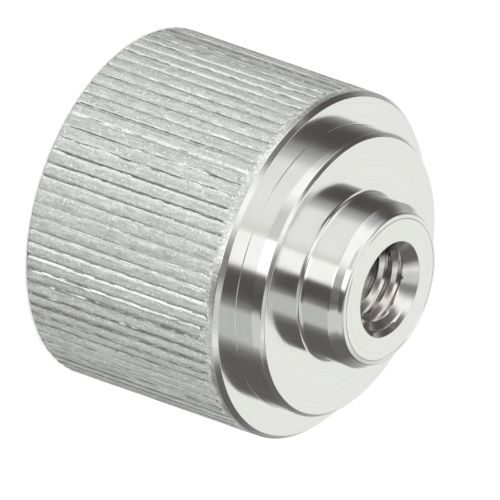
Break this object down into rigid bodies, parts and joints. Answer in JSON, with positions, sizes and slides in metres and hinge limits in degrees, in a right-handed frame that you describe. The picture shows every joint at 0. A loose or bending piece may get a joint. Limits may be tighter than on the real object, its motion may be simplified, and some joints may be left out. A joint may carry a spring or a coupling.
{
  "type": "knurled thumb nut",
  "caption": "Stainless thumb nut with a straight-knurled drum, a stepped shoulder and a short bevelled nose round a countersunk tapped hole.",
  "frame": {"origin": "centre of the flat rear face of the drum, on the axis of the tapped hole", "axes": "+Z along the axis of the tapped hole, towards the nose; X and Y are free, as the nut is turned"},
  "size_m": [0.0318, 0.0318, 0.028],
  "materials": {
    "stainless": "knurled drum matt and slightly rough, turned faces polished"
  },
  "bodies": {
    "root": {"thumb_nut": "stainless"}
  },
  "joints": []
}
